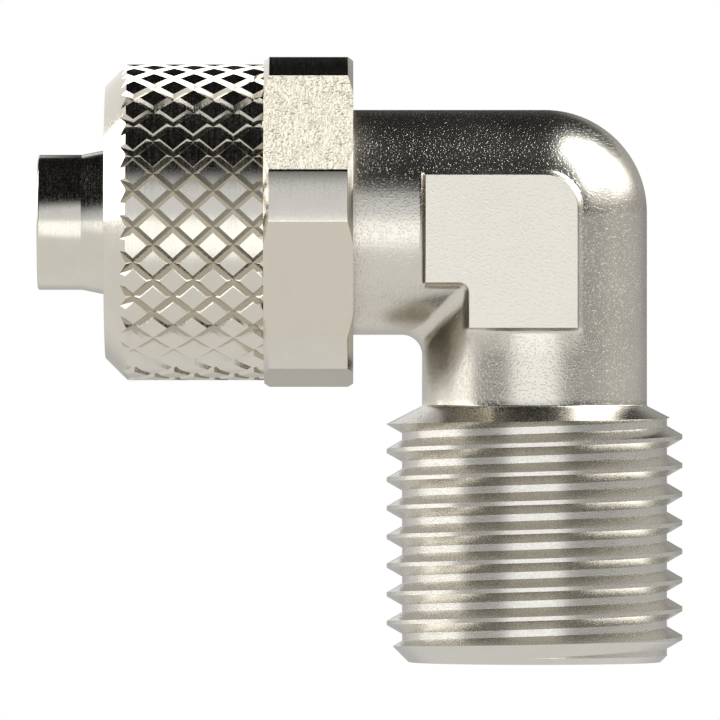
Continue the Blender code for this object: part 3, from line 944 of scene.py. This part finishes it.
def add_world():
    """White to the camera. The metal sees a dark room: pale ground, a front window, soft boxes."""
    world = bpy.data.worlds.new("studio")
    bpy.context.scene.world = world
    world.use_nodes = True
    tree = world.node_tree
    tree.nodes.clear()

    def node(kind, inputs, operation=None):
        """A node whose inputs, by index, take sockets or values."""
        made = tree.nodes.new(kind)
        if operation:
            made.operation = operation
        for index, value in inputs.items():
            if hasattr(value, "is_linked"):
                tree.links.new(value, made.inputs[index])
            else:
                made.inputs[index].default_value = value
        return made

    def maths(operation, *values):
        return node("ShaderNodeMath", dict(enumerate(values)), operation).outputs[0]

    def brighter(one, other):
        return node("ShaderNodeVectorMath", {0: one, 1: other}, "MAXIMUM").outputs[0]

    def dimmed(colour, share):
        return node("ShaderNodeVectorMath", {0: colour, 3: share}, "SCALE")

    def ramp(value, start, end, low, high):
        made = node("ShaderNodeMapRange", {0: value, 1: start, 2: end, 3: low, 4: high})
        made.interpolation_type = "SMOOTHSTEP"
        return made.outputs["Result"]

    def near(angle, centre, half, soft):
        """1 within half of the centre, 0 beyond, with an edge as wide as soft, all in degrees."""
        away = maths("ABSOLUTE", maths("SUBTRACT", angle, math.radians(centre)))
        return ramp(away, math.radians(half - soft / 2), math.radians(half + soft / 2), 1.0, 0.0)

    def front_window():
        across = maths("DIVIDE", azimuth, math.radians(FRONT_HALF_WIDTH))
        from_middle = maths("SUBTRACT", elevation, math.radians(FRONT_MIDDLE))
        upward = maths("DIVIDE", from_middle, math.radians(FRONT_HALF_HEIGHT))
        place_in_oval = node("ShaderNodeCombineXYZ", {0: across, 1: upward}).outputs[0]
        away = node("ShaderNodeVectorMath", {0: place_in_oval}, "LENGTH").outputs["Value"]
        shape = ramp(away, *FRONT_EDGE, 1.0, 0.0)
        division = math.radians(FRONT_DIVISION)
        high = ramp(elevation, division - SOFT_HORIZON, division + SOFT_HORIZON, 0.0, 1.0)
        colour = node("ShaderNodeMix", {})
        colour.data_type = "VECTOR"
        colour.inputs["A"].default_value = FRONT_LOW
        colour.inputs["B"].default_value = FRONT_HIGH
        tree.links.new(high, colour.inputs["Factor"])
        return dimmed(colour.outputs[1], shape).outputs[0]

    parts = node("ShaderNodeSeparateXYZ", {0: node("ShaderNodeTexCoord", {}).outputs["Generated"]})
    to_camera = maths("MULTIPLY", parts.outputs["Y"], -1.0)
    azimuth = maths("ARCTAN2", parts.outputs["X"], to_camera)
    elevation = maths("ARCSINE", parts.outputs["Z"])
    ground = ramp(to_camera, *GROUND_FADE, GROUND_FAR_BEHIND, GROUND_RADIANCE)
    above = ramp(parts.outputs["Z"], -SOFT_HORIZON, SOFT_HORIZON, 0.0, 1.0)
    base = node("ShaderNodeMix", {0: above, 2: ground, 3: DARK_RADIANCE}).outputs[0]
    light = node("ShaderNodeCombineXYZ", {0: base, 1: base, 2: base}).outputs[0]
    light = brighter(light, front_window())
    for name, az, el, wide, high, soft, radiance, colour in SOFT_BOXES:
        mask = maths("MULTIPLY", near(azimuth, az, wide, soft), near(elevation, el, high, soft))
        box = dimmed(tuple(radiance * c for c in colour), mask)
        box.label = name
        light = brighter(light, box.outputs[0])
    room = node("ShaderNodeBackground", {0: light, 1: 1.0}).outputs[0]
    white = node("ShaderNodeBackground", {0: (1, 1, 1, 1), 1: 1.0}).outputs[0]
    seen = node("ShaderNodeLightPath", {}).outputs["Is Camera Ray"]
    mix = node("ShaderNodeMixShader", {0: seen, 1: room, 2: white})
    output = node("ShaderNodeOutputWorld", {0: mix.outputs["Shader"]})
    output.target = "ALL"


def add_floor():
    """A plain pale disc below the fitting. In the metal the world's ground stands for it.

    It blocks none of the world's light from below, which the metal would otherwise lose.
    """
    bm = bmesh.new()
    bmesh.ops.create_circle(bm, cap_ends=True, segments=96, radius=FLOOR_RADIUS * MM)
    floor = bpy.data.objects.new("floor", mesh_from("floor", bm))
    floor.location = (CAMERA_TARGET[0] * MM, 0, -FLOOR_DROP * MM)
    bpy.context.scene.collection.objects.link(floor)
    nodes = Nodes("pale_floor")
    nodes.shader.inputs["Base Color"].default_value = FLOOR_COLOUR
    nodes.shader.inputs["Roughness"].default_value = 0.9
    floor.data.materials.append(nodes.material)
    floor.visible_glossy = False
    floor.visible_shadow = False


def main():
    bpy.context.scene.view_settings.view_transform = "Standard"
    add_camera()
    add_world()
    add_floor()
    forged = forged_nickel("forged_nickel", pimple_height=0.0044, roughness=(0.24, 0.27))
    pad = forged_nickel("pad_nickel", pimple_height=0.0020, roughness=(0.29, 0.31))
    turned = turned_nickel(
        "turned_nickel", stretch=(30, 0.6, 0.6), roughness=(0.10, 0.26), depth=0.0012
    )
    # Both flat materials carry painted light in their colours, the upper flat a set of its own
    milled_painted_light = milled_nickel_painted_light("milled_nickel_painted_light", relief=0.005, colours=MILLED_PAINTED_LIGHT_COLOURS)
    brushed_painted_light = milled_nickel_painted_light("brushed_nickel_painted_light", relief=0.025, colours=BRUSHED_PAINTED_LIGHT_COLOURS)
    knurled = turned_nickel(
        "knurled_nickel", stretch=(12, 0.6, 0.6), roughness=(0.10, 0.24), depth=0.0008
    )
    threaded = turned_nickel(
        "threaded_nickel",
        stretch=(4, 4, 12),
        roughness=(0.18, 0.30),
        depth=0.0023,
        colours=THREAD_COLOURS,
    )
    drilled = turned_nickel(
        "drilled_nickel", stretch=(8, 8, 8), roughness=(0.30, 0.42), depth=0.0020
    )
    build_body(forged, turned, drilled, threaded, pad)
    build_nut(turned, milled_painted_light, knurled, brushed_painted_light)


main()
